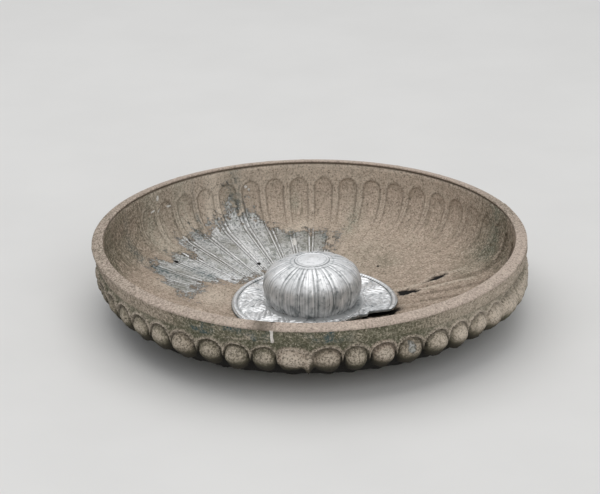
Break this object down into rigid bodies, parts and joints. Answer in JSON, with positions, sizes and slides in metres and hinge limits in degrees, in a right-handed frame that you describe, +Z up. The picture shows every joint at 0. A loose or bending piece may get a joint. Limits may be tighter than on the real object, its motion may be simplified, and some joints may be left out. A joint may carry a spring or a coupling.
{
  "type": "phiale",
  "caption": "Shallow round libation bowl of sheet silver with tongued wall, flat rest ring, finger hollow and a hollow melon boss on a leaf collar in the middle.",
  "frame": {"origin": "centre of the flat ring that the bowl rests on, on the resting plane", "axes": "+Z up along the bowl's axis, -Y towards the front of the pictured view, +X to its right"},
  "size_m": [0.16, 0.16, 0.03],
  "materials": {
    "crusted_silver": "matt pinkish brown corrosion crust over grey silver, with green and teal patches",
    "pale_fill": "matt pale filler",
    "solder": "dull dark grey",
    "cleaned_silver": "cleaned silver with tarnish in the relief",
    "border_silver": "worn silver wire with tarnish",
    "bright_silver": "bright cleaned silver with dark grooves",
    "cap_silver": "bright worn silver"
  },
  "bodies": {
    "root": {"bowl": "crusted_silver", "crack_fill": "pale_fill", "collar_solder": "solder", "omphalos_collar": "cleaned_silver", "collar_border_wire": "border_silver", "shell_solder": "solder", "omphalos_shell": "bright_silver", "cap_solder": "solder", "omphalos_cap": "cap_silver"}
  },
  "joints": []
}
